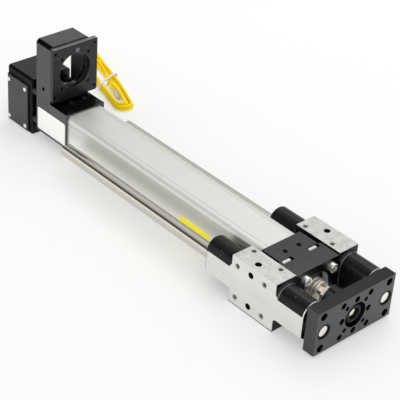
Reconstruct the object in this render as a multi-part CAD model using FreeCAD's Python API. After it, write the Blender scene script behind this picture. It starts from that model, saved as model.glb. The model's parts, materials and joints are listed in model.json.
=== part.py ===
import FreeCAD, Part
import math
import os

# Electric cylinder with a guided rod end, in millimetres.
# X runs forward to the tool plate, Z is up, and the origin is the middle of the base.
# Left and right are as seen from the front, so left is -Y.

V = FreeCAD.Vector
X_AXIS = V(1, 0, 0)
Y_AXIS = V(0, 1, 0)
Z_AXIS = V(0, 0, 1)

# Fits
running_clearance = 0.05      # radial, rods and shafts in their bearings
free_clearance = 0.5          # between faces that pass each other
tool_overlap = 1.0            # how far a joining or cutting tool reaches past a face

# Screws
head_chamfer = 0.1            # share of the head's radius
socket_floor = 0.45           # share of the head's length under the socket
thread_grip = 3.0             # thread radii that a small screw engages

# Cylinder profile
profile_size = 63.5
profile_corner = 7.5
profile_length = 404.0
profile_bore_r = 24.0
line_inset = 10.5             # fine line grooves, from the profile's edge
line_width = 1.6
line_depth = 0.4
end_screw_pitch = 46.5        # square
end_screw_r = 4.0
end_screw_head_r = 6.5
end_screw_head_length = 8.0
end_screw_grip = 20.0         # thread engaged in the profile

# Guide rods, bearing tubes and guide blocks
guide_rod_r = 10.0
guide_rod_length = 492.0      # behind the plate
guide_rod_chamfer = 1.0
guide_spigot_r = 7.4
tube_r = 23.0                 # round underside of a bearing tube
tube_rise = 14.0              # middle of its round top, above the rod
tube_gap = 6.05               # tube to profile
tube_nose_length = 47.0       # in front of the block
tube_tail_length = 49.0       # behind the block
tube_tail_round = 4.0
tube_nose_chamfer = 1.0
tube_flare = 1.5              # at the block's end faces
tube_flare_length = 4.0
bearing_r = 14.0
bearing_length = 30.0
wiper_length = 5.0
tube_relief = 2.0             # radial, between the bearings
block_length = 78.0
block_height = 72.0
block_inner_wall = 2.1        # beyond the bearing, towards the head
block_outer_wall = 3.2        # beyond the bearing, at the milled side
hole_shift = 5.0              # the block's holes, behind its middle
insert_pitch_x = 48.0
insert_pitch_z = 48.0
insert_r = 4.5
insert_bore_r = 3.4
insert_length = 10.0
insert_recess = 0.3
top_insert_inset = 6.6        # from the block's inner face
dowel_hole_r = 4.5
dowel_hole_depth = 12.0
top_dowel_inset = 11.5        # from the block's outer face

# Front head
head_length = 66.0
head_waist_length = 33.0      # narrower rear part
head_waist_margin = 1.65      # beyond the profile
head_height = 68.0
head_seat_r = 17.0            # seat of rod bushing and wiper
head_recess_r = 22.5          # round the rod, in the front face
head_recess_depth = 10.0
rod_wiper_length = 6.0
clamp_screw_r = 2.0
clamp_head_r = 3.5
clamp_head_length = 13.0
clamp_screw_grip = 13.0
clamp_screw_x = 2.0           # in front of the waist step
pocket_clearance = 0.15
pocket_floor = 0.4            # wall between pocket and end screw
pocket_length = 19.0          # head and key space
pocket_wall = 1.0             # left between pocket and waist
set_screw_r = 4.0
set_screw_length = 7.0
set_screw_recess = 1.5
set_screw_pitch = 24.0
set_screw_x = 20.0            # in front of the head's rear face

# Tool plate and rod joint
plate_thickness = 18.0
plate_edge = 13.5             # plate beyond the guide rods
plate_height = 64.0
plate_chamfer = 0.6
stop_gap = 3.0                # plate to tube noses, drawn in
plate_boss_r = 18.8
plate_boss_length = 24.0
plate_well_r = 18.0
plate_well_depth = 13.0
plate_ring_pcd = 47.0
plate_ring_hole_r = 4.5
plate_ring_pin_r = 3.4
plate_square = 48.0
plate_square_hole_r = 4.5
plate_corner_pitch_y = 116.0
plate_corner_pitch_z = 48.0
plate_corner_hole_r = 5.5
spigot_recess = 1.5
spigot_mouth_r = 8.6
stud_r = 8.0
stud_chamfer = 1.0
stud_end_recess = 5.0         # stud's end below the plate's face
stud_grip = 30.0              # stud screwed into the rod
jam_nut_width = 24.0
jam_nut_length = 8.0
jam_nut_crown_r = 12.8        # where its crown meets the end face
coupling_nut_r = 12.6
coupling_nut_length = 10.5

# Rod, drive screw and nut
rod_r = 14.0
rod_bore_r = 10.0
rod_nose = 10.0               # rod beyond the head, drawn in
rod_chamfer = 1.0
rod_groove_width = 2.0
rod_groove_depth = 1.0
rod_groove_pitch = 5.4        # two grooves behind the rod's end
rod_plug_length = 40.0
rod_length = 412.0
stroke = 300.0
nut_r = 20.0
nut_length = 50.0
nut_ring_length = 12.0
nut_ring_inset = 8.0
screw_r = 8.0
screw_overrun = 12.0          # screw beyond the nut, rod out
journal_r = 6.0
tail_shaft_r = 4.0
screw_bearing_r = 16.0
screw_bearing_width = 10.0
retainer_width = 4.0
lock_nut_r = 10.0
lock_nut_width = 4.0

# Driven pulley
pulley_teeth = 20
pulley_pitch = 5.0
pulley_width = 16.0
pulley_rim_r = 18.0
pulley_rim_width = 1.5
pulley_groove_r = 1.5
pulley_gap = 3.0              # behind the lock nut

# Rear cap, belt housing and motor flange
cap_length = 39.0
cap_width = 68.4
cap_height = 68.8
cap_bolt_head_r = 5.5         # turned down, to clear the lower chamfers
casting_chamfer = 13.2        # both lower edges of cap and housing
housing_depth = 33.0
housing_wall = 6.7
housing_front_wall = 6.0
housing_top_round = 6.5
housing_bore_r = 24.5
housing_side_hole_r = 3.0
housing_side_hole_drop = 74.0  # below the housing's top
housing_screw_r = 2.5
housing_screw_head_r = 4.25
housing_screw_pitch_y = 46.0
housing_screw_pitch_z = 16.0
flange_thickness = 6.0
flange_width = 79.7
flange_height = 85.0
flange_gap = 4.6              # above the cap
flange_drop = 3.0             # below the housing's top
flange_corner = 3.0
flange_bore_r = 27.5
motor_square = 69.6
motor_hole_r = 2.75
flange_screw_square = 47.1
flange_screw_r = 2.5
flange_screw_head_r = 4.25
flange_screw_head_length = 4.2
flange_dowel_r = 3.5
flange_dowel_rise = 31.5      # above the bore's centre
flange_dowel_shift = 4.2
cap_screw_r = 2.0
cap_screw_head_r = 3.5
cap_screw_pitch = 24.0
cap_screw_x = 13.0            # in front of the cap's rear face

# Rear box
box_length = 59.0
box_width = 68.5
box_height = 91.5
box_wall = 3.0
box_top_round = 4.0
box_gap = 11.0
pillar_r = 7.0
pillar_pitch_y = 54.0
pillar_low = 26.0             # above the base
pillar_high = 73.0
cover_thickness = 2.5
cover_chamfer = 0.8
cover_length = 50.0
cover_height = 77.0
cover_lift = 1.0
cover_lip = 8.0               # cover beyond its window
cover_screw_r = 1.5
cover_screw_head_r = 3.2
cover_screw_inset_x = 5.0
cover_screw_inset_z = 7.7
module_r = 24.0
module_length = 14.0
rotor_hub_r = 8.0
rotor_disc_r = 20.0
rotor_length = 12.0
rotor_disc_width = 2.0

# Cable: its gland, route and hank on the floor
cable_r = 2.25
bend_share = 0.45             # share of a run that its bend takes
gland_x = 18.0                # in front of the box's rear face
gland_z = 30.0
gland_hex_width = 12.0
gland_hex_length = 4.0
gland_dome_r = 5.2
gland_dome_length = 10.0
gland_mouth_wall = 1.0        # dome beyond the cable, at its mouth
cable_route = [               # points behind the gland's mouth
    V(-322, 70, 30), V(-330, 94, 19), V(-348, 112, 7),
    V(-372, 124, 2.25), V(-396, 140, 2.25), V(-424, 160, 2.25),
]
hank_nose = V(-267.5, 128.5, 0)
hank_tail = V(-417, 176, 0)
hank_nose_r = 16.5
hank_tail_r = 19.0
hank_band = 10.5              # width of the bundle of turns
hank_height = 13.5
tie_at = 0.455                # share of the way from nose to tail
tie_skew = 40.0               # degrees
tie_width = 4.0
tie_thickness = 1.0
connector_r = 3.9
connector_length = 22.0
connector_boot_length = 8.0
boot_wall = 0.6               # boot beyond the cable, at its thin end
connector_middle = V(-296, 138, 0)
connector_turn = 162.0        # degrees from +X
cable_end_start = 14.0        # straight run out of the boot
cable_end_reach = 44.0        # further on, along the connector
cable_end_drift = 15.0        # and across, into the hank

# Places along X, from the front
total_length = (plate_thickness + stop_gap + tube_nose_length + head_length + profile_length
                + cap_length + housing_depth + box_gap + box_length)
x_plate_front = total_length / 2
x_plate_rear = x_plate_front - plate_thickness
x_tube_front = x_plate_rear - stop_gap
x_block_front = x_tube_front - tube_nose_length
x_block_rear = x_block_front - block_length
x_tube_rear = x_block_rear - tube_tail_length
x_holes = (x_block_front + x_block_rear) / 2 - hole_shift
x_head_front = x_block_front
x_head_rear = x_head_front - head_length
x_waist = x_head_rear + head_waist_length
x_profile_rear = x_head_rear - profile_length
x_cap_rear = x_profile_rear - cap_length
x_wall_rear = x_cap_rear - housing_front_wall
x_housing_rear = x_cap_rear - housing_depth
x_box_front = x_housing_rear - box_gap
x_box_rear = x_box_front - box_length
x_rod_front = x_head_front + rod_nose
x_rod_rear = x_rod_front - rod_length
x_nut_rear = x_rod_rear - nut_length
x_screw_front = x_nut_rear + nut_length + stroke + screw_overrun
x_boss_rear = x_plate_rear - plate_boss_length

# Places across and up
axis_z = block_height / 2
profile_half = profile_size / 2
tube_half = bearing_r + block_outer_wall
rod_y = profile_half + tube_gap + tube_half
block_inner_y = rod_y - bearing_r - block_inner_wall
block_outer_y = rod_y + bearing_r + block_outer_wall
head_top = axis_z + head_height / 2
waist_half = profile_half + head_waist_margin
clamp_z = (axis_z + end_screw_pitch / 2 + end_screw_r + pocket_floor + clamp_head_r
           + 2 * pocket_clearance)
cap_low = axis_z - cap_height / 2
cap_top = axis_z + cap_height / 2
flange_top = cap_top + flange_gap + flange_height
housing_top = flange_top + flange_drop
flange_low_y = -cap_width / 2
flange_y = flange_low_y + flange_width / 2
flange_z = flange_top - flange_height / 2
box_half = box_width / 2
SIDES = (-1, 1)


def block(x0, x1, y0, y1, z0, z1):
    return Part.makeBox(x1 - x0, y1 - y0, z1 - z0, V(x0, y0, z0))


def bar(start, direction, r, length):
    return Part.makeCylinder(r, length, start, direction)


def bar_x(x0, x1, y, z, r):
    return bar(V(x0, y, z), X_AXIS, r, x1 - x0)


def ring_x(x0, x1, y, z, r_out, r_in):
    return bar_x(x0, x1, y, z, r_out).cut(bar_x(x0, x1, y, z, r_in))


def corners(pitch_a, pitch_b):
    return [(a * pitch_a / 2, b * pitch_b / 2) for a in SIDES for b in SIDES]


def mirrored(shape):
    return shape.mirror(V(0, 0, 0), Y_AXIS)


def edges_along(shape, axis, keep):
    """Straight edges along an axis whose middle passes the test."""
    found = []
    for edge in shape.Edges:
        if len(edge.Vertexes) != 2:
            continue
        run = edge.Vertexes[1].Point - edge.Vertexes[0].Point
        if abs(abs(run.dot(axis)) - run.Length) < 1e-6 and keep(edge.CenterOfMass):
            found.append(edge)
    return found


def hex_bar(start, direction, width, length):
    """Hexagonal bar, width across flats."""
    r = width / math.sqrt(3)
    points = [V(r * math.cos(math.radians(60 * i)), r * math.sin(math.radians(60 * i)), 0) for i in range(7)]
    prism = Part.Face(Part.makePolygon(points)).extrude(V(0, 0, length))
    prism.Placement = FreeCAD.Placement(start, FreeCAD.Rotation(Z_AXIS, direction))
    return prism


def socket_screw(seat, direction, r, length, head_r, head_length):
    """Socket head screw: seat is the face under its head, direction the way it is driven."""
    back = direction * -1
    head = bar(seat, back, head_r, head_length)
    rim = [e for e in head.Edges if e.Closed and (e.CenterOfMass - seat).Length > head_length / 2]
    head = head.makeChamfer(head_r * head_chamfer, rim)
    socket = hex_bar(seat + back * (head_length * socket_floor), back, head_r, head_length)
    return head.fuse(bar(seat, direction, r, length)).cut(socket).removeSplitter()


def prism_x(x0, x1, outline):
    """Outline is a list of (y, z) points."""
    points = [V(x0, y, z) for y, z in outline]
    return Part.Face(Part.makePolygon(points + points[:1])).extrude(V(x1 - x0, 0, 0))


def casting(x0, x1, half, low, top, chamfer):
    """Upright section with both lower edges cut off."""
    return prism_x(x0, x1, [
        (-half, low + chamfer), (-half + chamfer, low), (half - chamfer, low),
        (half, low + chamfer), (half, top), (-half, top),
    ])


def profile_tube():
    body = block(x_profile_rear, x_head_rear, -profile_half, profile_half,
                 axis_z - profile_half, axis_z + profile_half)
    body = body.makeFillet(profile_corner, edges_along(body, X_AXIS, lambda c: True))
    cuts = [bar_x(x_profile_rear, x_head_rear, 0, axis_z, profile_bore_r)]
    for y, z in corners(end_screw_pitch, end_screw_pitch):
        cuts.append(bar_x(x_profile_rear, x_head_rear, y, axis_z + z, end_screw_r))
    line = profile_half - line_inset
    for side in SIDES:
        for at in (-line, line):
            edge_y = side * profile_half
            edge_z = axis_z + side * profile_half
            cuts.append(block(x_profile_rear, x_head_rear, edge_y - line_depth, edge_y + line_depth,
                              axis_z + at - line_width / 2, axis_z + at + line_width / 2))
            cuts.append(block(x_profile_rear, x_head_rear, at - line_width / 2, at + line_width / 2,
                              edge_z - line_depth, edge_z + line_depth))
    return body.cut(cuts)


def clamp_seats():
    """Seats of the two clamp screws, both driven to the left."""
    x = x_waist + clamp_screw_x
    outer = waist_half - pocket_wall
    return [V(x, -outer, clamp_z), V(x, outer - pocket_length, clamp_z)]


def clamp_reach():
    """Length of a clamp screw's shank: it ends in the left guide block."""
    return block_inner_y - waist_half + pocket_wall + clamp_screw_grip


def front_head():
    low = head_top - head_height
    body = block(x_waist, x_head_front, -block_inner_y, block_inner_y, low, head_top)
    body = body.fuse(block(x_head_rear, x_waist, -waist_half, waist_half, low, head_top)).removeSplitter()
    cuts = [bar_x(x_head_rear, x_head_front, 0, axis_z, head_seat_r),
            bar_x(x_head_front - head_recess_depth, x_head_front, 0, axis_z, head_recess_r)]
    for y, z in corners(end_screw_pitch, end_screw_pitch):
        cuts.append(bar_x(x_head_rear, x_head_front, y, axis_z + z, end_screw_r + pocket_clearance))
    reach = clamp_head_r + pocket_clearance
    for seat in clamp_seats():
        cuts.append(bar(seat, Y_AXIS, reach, pocket_length))
        cuts.append(block(seat.x - reach, seat.x + reach, seat.y, seat.y + pocket_length,
                          clamp_z, clamp_z + reach))
        cuts.append(bar(seat, Y_AXIS * -1, clamp_screw_r, clamp_reach()))
    for side in SIDES:
        cuts.append(bar(V(x_head_rear + set_screw_x, side * set_screw_pitch / 2, head_top), Z_AXIS * -1,
                        set_screw_r, set_screw_length + set_screw_recess))
    return body.cut(cuts)


def rod_wiper():
    front = x_head_front - head_recess_depth
    return ring_x(front - rod_wiper_length, front, 0, axis_z, head_seat_r, rod_r + running_clearance)


def rod_bushing():
    front = x_head_front - head_recess_depth - rod_wiper_length
    return ring_x(x_head_rear, front, 0, axis_z, head_seat_r, rod_r + running_clearance)


def head_screws():
    length = head_length + end_screw_grip
    return [socket_screw(V(x_head_front, y, axis_z + z), X_AXIS * -1, end_screw_r, length,
                         end_screw_head_r, end_screw_head_length)
            for y, z in corners(end_screw_pitch, end_screw_pitch)]


def clamp_screws():
    return [socket_screw(seat, Y_AXIS * -1, clamp_screw_r, clamp_reach(), clamp_head_r, clamp_head_length)
            for seat in clamp_seats()]


def head_set_screws():
    screws = []
    for side in SIDES:
        top = V(x_head_rear + set_screw_x, side * set_screw_pitch / 2, head_top - set_screw_recess)
        body = bar(top, Z_AXIS * -1, set_screw_r, set_screw_length)
        screws.append(body.cut(hex_bar(top - V(0, 0, set_screw_r), Z_AXIS, set_screw_r,
                                          set_screw_r + tool_overlap)))
    return screws


def tube_wire(x, grow=0.0):
    """Outline of a bearing tube: round top, straight sides and a flatter round underside."""
    half = tube_half + grow
    r_low = tube_r + grow
    top = axis_z + tube_rise
    low = axis_z - math.sqrt(r_low ** 2 - half ** 2)
    inner_low, inner_top = V(x, rod_y - half, low), V(x, rod_y - half, top)
    outer_low, outer_top = V(x, rod_y + half, low), V(x, rod_y + half, top)
    crown = Part.Arc(inner_top, V(x, rod_y, top + half), outer_top).toShape()
    keel = Part.Arc(outer_low, V(x, rod_y, axis_z - r_low), inner_low).toShape()
    return Part.Wire([Part.makeLine(inner_low, inner_top), crown, Part.makeLine(outer_top, outer_low), keel])


def tube_flare_at(x_face, way):
    """Flare of a bearing tube where it meets the block's end face."""
    wires = [tube_wire(x_face, tube_flare), tube_wire(x_face + way * tube_flare_length)]
    flare = Part.makeLoft(wires, True)
    x0, x1 = sorted((x_face, x_face + way * tube_flare_length))
    return flare.common(block(x0, x1, block_inner_y, block_outer_y, 0, block_height))


def insert_places():
    """Mouth and inward direction of each threaded insert of the +Y block."""
    places = []
    for x, z in corners(insert_pitch_x, insert_pitch_z):
        places.append((V(x_holes + x, block_outer_y, axis_z + z), Y_AXIS * -1))
    for side in SIDES:
        x = x_holes + side * insert_pitch_x / 2
        places.append((V(x, block_inner_y + top_insert_inset, block_height), Z_AXIS * -1))
    return places


def guide_block():
    """Block and bearing tubes of the +Y side, milled flat along the outer side."""
    tube = Part.Face(tube_wire(x_tube_rear)).extrude(X_AXIS * (x_tube_front - x_tube_rear))
    rear_rim = [e for e in tube.Edges if abs(e.BoundBox.XMax - x_tube_rear) < 1e-6]
    tube = tube.makeFillet(tube_tail_round, rear_rim)
    front_rim = [e for e in tube.Edges if abs(e.BoundBox.XMin - x_tube_front) < 1e-6]
    tube = tube.makeChamfer(tube_nose_chamfer, front_rim)
    tube = tube.cut(block(x_block_rear, x_block_front, 0, block_inner_y, 0, block_height))
    body = block(x_block_rear, x_block_front, block_inner_y, block_outer_y, 0, block_height)
    flares = [tube_flare_at(x_block_front, 1), tube_flare_at(x_block_rear, -1)]
    body = body.fuse([tube] + flares).removeSplitter()
    seat = bearing_length + wiper_length
    cuts = [bar_x(x_tube_rear, x_tube_front, rod_y, axis_z, guide_rod_r + tube_relief),
            bar_x(x_tube_front - seat, x_tube_front, rod_y, axis_z, bearing_r),
            bar_x(x_tube_rear, x_tube_rear + seat, rod_y, axis_z, bearing_r)]
    for mouth, inward in insert_places():
        cuts.append(bar(mouth, inward, insert_r, insert_length + insert_recess))
    for up in SIDES:
        cuts.append(bar(V(x_holes, block_outer_y, axis_z + up * insert_pitch_z / 2), Y_AXIS * -1,
                        dowel_hole_r, dowel_hole_depth))
    cuts.append(bar(V(x_holes, block_outer_y - top_dowel_inset, block_height), Z_AXIS * -1,
                    dowel_hole_r, dowel_hole_depth))
    return body.cut(cuts)


def clamp_thread():
    """Threaded hole of the left block for the left clamp screw."""
    return bar(clamp_seats()[0], Y_AXIS * -1, clamp_screw_r, clamp_reach())


def linear_bearings():
    inner = guide_rod_r + running_clearance
    front = x_tube_front - wiper_length
    rear = x_tube_rear + wiper_length
    return [ring_x(front - bearing_length, front, rod_y, axis_z, bearing_r, inner),
            ring_x(rear, rear + bearing_length, rod_y, axis_z, bearing_r, inner)]


def guide_wipers():
    inner = guide_rod_r + running_clearance
    return [ring_x(x_tube_front - wiper_length, x_tube_front, rod_y, axis_z, bearing_r, inner),
            ring_x(x_tube_rear, x_tube_rear + wiper_length, rod_y, axis_z, bearing_r, inner)]


def thread_inserts():
    inserts = []
    for mouth, inward in insert_places():
        top = mouth + inward * insert_recess
        sleeve = bar(top, inward, insert_r, insert_length)
        sleeve = sleeve.cut(bar(top, inward, insert_bore_r, insert_length))
        inserts += [sleeve, mirrored(sleeve)]
    return inserts


def front_plate():
    half = rod_y + plate_edge
    low = axis_z - plate_height / 2
    body = block(x_plate_rear, x_plate_front, -half, half, low, low + plate_height)
    body = body.makeChamfer(plate_chamfer, edges_along(body, Z_AXIS, lambda c: c.x > x_plate_rear + 1))
    body = body.fuse(bar_x(x_boss_rear, x_plate_rear, 0, axis_z, plate_boss_r)).removeSplitter()
    cuts = [bar_x(x_boss_rear, x_plate_front, 0, axis_z, stud_r + pocket_clearance),
            bar_x(x_plate_front - plate_well_depth, x_plate_front, 0, axis_z, plate_well_r)]
    for i in range(8):
        turn = math.radians(45 * i)
        r = plate_ring_hole_r if i % 2 == 0 else plate_ring_pin_r
        cuts.append(bar_x(x_plate_rear, x_plate_front, plate_ring_pcd / 2 * math.cos(turn),
                          axis_z + plate_ring_pcd / 2 * math.sin(turn), r))
    for y, z in corners(plate_square, plate_square):
        cuts.append(bar_x(x_plate_rear, x_plate_front, y, axis_z + z, plate_square_hole_r))
    for y, z in corners(plate_corner_pitch_y, plate_corner_pitch_z):
        cuts.append(bar_x(x_plate_rear, x_plate_front, y, axis_z + z, plate_corner_hole_r))
    for side in SIDES:
        cuts.append(bar_x(x_plate_rear, x_plate_front, side * rod_y, axis_z, guide_spigot_r))
        cuts.append(bar_x(x_plate_front - spigot_recess, x_plate_front, side * rod_y, axis_z,
                          spigot_mouth_r))
    return body.cut(cuts)


def guide_rod():
    rod = bar_x(x_plate_rear - guide_rod_length, x_plate_rear, rod_y, axis_z, guide_rod_r)
    rim = [e for e in rod.Edges if e.Closed and e.CenterOfMass.x < x_plate_rear - 1]
    rod = rod.makeChamfer(guide_rod_chamfer, rim)
    return rod.fuse(bar_x(x_plate_rear, x_plate_front - spigot_recess, rod_y, axis_z, guide_spigot_r))


def piston_rod():
    rod = bar_x(x_rod_rear, x_rod_front, 0, axis_z, rod_r)
    rim = [e for e in rod.Edges if e.Closed and e.CenterOfMass.x > x_rod_front - 1]
    rod = rod.makeChamfer(rod_chamfer, rim)
    for i in (1, 2):
        x = x_rod_front - i * rod_groove_pitch
        rod = rod.cut(ring_x(x, x + rod_groove_width, 0, axis_z, rod_r + tool_overlap,
                             rod_r - rod_groove_depth))
    return rod.cut([bar_x(x_rod_rear, x_rod_front - rod_plug_length, 0, axis_z, rod_bore_r),
                    bar_x(x_rod_front - stud_grip, x_rod_front, 0, axis_z, stud_r)])


def rod_stud():
    stud = bar_x(x_rod_front - stud_grip, x_plate_front - stud_end_recess, 0, axis_z, stud_r)
    rim = [e for e in stud.Edges if e.Closed and e.CenterOfMass.x > x_plate_rear]
    return stud.makeChamfer(stud_chamfer, rim)


def jam_nut():
    nut = hex_bar(V(x_boss_rear - jam_nut_length, 0, axis_z), X_AXIS, jam_nut_width, jam_nut_length)
    crown = Part.makeCone(jam_nut_crown_r, jam_nut_crown_r + jam_nut_length, jam_nut_length,
                          V(x_boss_rear - jam_nut_length, 0, axis_z), X_AXIS)
    return nut.common(crown).cut(bar_x(x_boss_rear - jam_nut_length, x_boss_rear, 0, axis_z, stud_r))


def coupling_nut():
    foot = x_plate_front - plate_well_depth
    return ring_x(foot, foot + coupling_nut_length, 0, axis_z, coupling_nut_r, stud_r)


def ball_nut():
    return ring_x(x_nut_rear, x_rod_rear, 0, axis_z, nut_r, screw_r + running_clearance)


def nut_guide_ring():
    x = x_nut_rear + nut_ring_inset
    return ring_x(x, x + nut_ring_length, 0, axis_z, profile_bore_r - running_clearance, nut_r)


def ball_screw():
    tail = x_box_front - box_wall - rotor_length
    parts = [bar_x(x_cap_rear, x_profile_rear, 0, axis_z, journal_r),
             bar_x(x_housing_rear, x_cap_rear, 0, axis_z, journal_r),
             bar_x(tail, x_housing_rear, 0, axis_z, tail_shaft_r)]
    return bar_x(x_profile_rear, x_screw_front, 0, axis_z, screw_r).fuse(parts).removeSplitter()


def screw_locknut():
    return ring_x(x_cap_rear - lock_nut_width, x_cap_rear, 0, axis_z, lock_nut_r, journal_r)


def driven_pulley():
    front = x_cap_rear - lock_nut_width - pulley_gap
    rear = front - pulley_width - 2 * pulley_rim_width
    pitch_r = pulley_teeth * pulley_pitch / (2 * math.pi)
    body = bar_x(rear, front, 0, axis_z, pitch_r)
    grooves = []
    for i in range(pulley_teeth):
        turn = 2 * math.pi * i / pulley_teeth
        grooves.append(bar_x(rear, front, pitch_r * math.cos(turn), axis_z + pitch_r * math.sin(turn),
                             pulley_groove_r))
    body = body.cut(grooves)
    rims = [bar_x(rear, rear + pulley_rim_width, 0, axis_z, pulley_rim_r),
            bar_x(front - pulley_rim_width, front, 0, axis_z, pulley_rim_r)]
    return body.fuse(rims).cut(bar_x(rear, front, 0, axis_z, journal_r))


def cap_screw_seats():
    return [V(x_cap_rear + cap_screw_x, flange_y + side * cap_screw_pitch / 2, cap_top) for side in SIDES]


def rear_cap():
    body = casting(x_cap_rear, x_profile_rear, cap_width / 2, cap_low, cap_top, casting_chamfer)
    seat = 2 * screw_bearing_width + retainer_width
    cuts = [bar_x(x_cap_rear, x_profile_rear, 0, axis_z, screw_r + free_clearance),
            bar_x(x_cap_rear, x_cap_rear + seat, 0, axis_z, screw_bearing_r)]
    for y, z in corners(end_screw_pitch, end_screw_pitch):
        cuts.append(bar_x(x_cap_rear, x_profile_rear, y, axis_z + z, end_screw_r))
        cuts.append(bar_x(x_cap_rear, x_cap_rear + end_screw_head_length, y, axis_z + z, cap_bolt_head_r))
    x_thread = x_cap_rear + thread_grip * housing_screw_r
    for y, z in corners(housing_screw_pitch_y, housing_screw_pitch_z):
        cuts.append(bar_x(x_cap_rear, x_thread, y, axis_z + z, housing_screw_r))
    for seat in cap_screw_seats():
        cuts.append(bar(seat, Z_AXIS * -1, cap_screw_r, thread_grip * cap_screw_r))
    return body.cut(cuts)


def cap_bolts():
    length = cap_length - end_screw_head_length + end_screw_grip
    return [socket_screw(V(x_cap_rear + end_screw_head_length, y, axis_z + z), X_AXIS, end_screw_r, length,
                         cap_bolt_head_r, end_screw_head_length)
            for y, z in corners(end_screw_pitch, end_screw_pitch)]


def cap_screws():
    return [socket_screw(seat, Z_AXIS * -1, cap_screw_r, thread_grip * cap_screw_r,
                         cap_screw_head_r, cap_screw_r)
            for seat in cap_screw_seats()]


def screw_bearings():
    inner = journal_r + running_clearance
    first = x_cap_rear + retainer_width
    return [ring_x(x, x + screw_bearing_width, 0, axis_z, screw_bearing_r, inner)
            for x in (first, first + screw_bearing_width)]


def bearing_retainer():
    return ring_x(x_cap_rear, x_cap_rear + retainer_width, 0, axis_z, screw_bearing_r,
                  journal_r + free_clearance)


def belt_housing():
    half = cap_width / 2
    body = casting(x_housing_rear, x_cap_rear, half, cap_low, housing_top, casting_chamfer)
    body = body.makeFillet(housing_top_round, edges_along(body, X_AXIS, lambda c: c.z > housing_top - 1))
    hollow_chamfer = casting_chamfer - housing_wall * (2 - math.sqrt(2))
    hollow = casting(x_housing_rear, x_wall_rear, half - housing_wall, cap_low + housing_wall,
                     housing_top - housing_wall, hollow_chamfer)
    cuts = [hollow,
            bar_x(x_wall_rear, x_cap_rear, 0, axis_z, lock_nut_r + free_clearance),
            bar_x(x_wall_rear, x_cap_rear, flange_y, flange_z, housing_bore_r),
            bar(V(x_cap_rear - housing_depth / 2, -half, housing_top - housing_side_hole_drop), Y_AXIS,
                housing_side_hole_r, housing_wall)]
    for y, z in corners(housing_screw_pitch_y, housing_screw_pitch_z):
        cuts.append(bar_x(x_wall_rear, x_cap_rear, y, axis_z + z, housing_screw_r))
    for y, z in corners(flange_screw_square, flange_screw_square):
        cuts.append(bar_x(x_wall_rear, x_cap_rear, flange_y + y, flange_z + z, flange_screw_r))
    return body.cut(cuts)


def housing_screws():
    length = housing_front_wall + thread_grip * housing_screw_r
    return [socket_screw(V(x_wall_rear, y, axis_z + z), X_AXIS, housing_screw_r, length,
                         housing_screw_head_r, housing_screw_head_r)
            for y, z in corners(housing_screw_pitch_y, housing_screw_pitch_z)]


def motor_flange():
    x_front = x_cap_rear + flange_thickness
    body = block(x_cap_rear, x_front, flange_low_y, flange_low_y + flange_width,
                 flange_top - flange_height, flange_top)
    body = body.makeFillet(flange_corner, edges_along(body, X_AXIS, lambda c: True))
    cuts = [bar_x(x_cap_rear, x_front, flange_y, flange_z, flange_bore_r), flange_dowel()]
    for y, z in corners(motor_square, motor_square):
        cuts.append(bar_x(x_cap_rear, x_front, flange_y + y, flange_z + z, motor_hole_r))
    x_seat = x_front - flange_screw_head_length
    for y, z in corners(flange_screw_square, flange_screw_square):
        cuts.append(bar_x(x_cap_rear, x_front, flange_y + y, flange_z + z, flange_screw_r))
        cuts.append(bar_x(x_seat, x_front, flange_y + y, flange_z + z, flange_screw_head_r))
    return body.cut(cuts)


def flange_screws():
    seat = x_cap_rear + flange_thickness - flange_screw_head_length
    length = seat - x_wall_rear
    return [socket_screw(V(seat, flange_y + y, flange_z + z), X_AXIS * -1, flange_screw_r, length,
                         flange_screw_head_r, flange_screw_head_length)
            for y, z in corners(flange_screw_square, flange_screw_square)]


def flange_dowel():
    return bar_x(x_cap_rear, x_cap_rear + flange_thickness, flange_y + flange_dowel_shift,
                 flange_z + flange_dowel_rise, flange_dowel_r)


def cover_middle():
    return x_box_rear + cover_length / 2, cover_lift + cover_height / 2


def cover_screw_places():
    x, z = cover_middle()
    pitch_x = cover_length - 2 * cover_screw_inset_x
    pitch_z = cover_height - 2 * cover_screw_inset_z
    return [(x + a, z + b) for a, b in corners(pitch_x, pitch_z)]


def pillar_places():
    return [(side * pillar_pitch_y / 2, z) for side in SIDES for z in (pillar_low, pillar_high)]


def rear_box():
    body = block(x_box_rear, x_box_front, -box_half, box_half, 0, box_height)
    body = body.makeFillet(box_top_round, edges_along(body, X_AXIS, lambda c: c.z > box_height - 1))
    hollow = block(x_box_rear + box_wall, x_box_front - box_wall, -box_half + box_wall, box_half - box_wall,
                   box_wall, box_height - box_wall)
    hollow = hollow.makeFillet(box_top_round - box_wall,
                               edges_along(hollow, X_AXIS, lambda c: c.z > box_height - box_wall - 1))
    window_x, window_z = cover_middle()
    window_half_x = cover_length / 2 - cover_lip
    window_half_z = cover_height / 2 - cover_lip - cover_screw_head_r
    cuts = [hollow,
            block(window_x - window_half_x, window_x + window_half_x, -box_half, -box_half + box_wall,
                  window_z - window_half_z, window_z + window_half_z),
            bar_x(x_box_front - box_wall, x_box_front, 0, axis_z, tail_shaft_r + free_clearance),
            bar(V(x_box_rear + gland_x, box_half - box_wall, gland_z), Y_AXIS, cable_r, box_wall)]
    for x, z in cover_screw_places():
        cuts.append(bar(V(x, -box_half, z), Y_AXIS, cover_screw_r, box_wall))
    return body.cut(cuts)


def rear_box_cover():
    x, z = cover_middle()
    body = block(x - cover_length / 2, x + cover_length / 2, -box_half - cover_thickness, -box_half,
                 z - cover_height / 2, z + cover_height / 2)
    body = body.makeChamfer(cover_chamfer, [e for e in body.Edges
                                            if e.CenterOfMass.y < -box_half - cover_thickness + 1e-6])
    holes = [bar(V(x, -box_half - cover_thickness, z), Y_AXIS, cover_screw_r, cover_thickness)
             for x, z in cover_screw_places()]
    return body.cut(holes)


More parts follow.
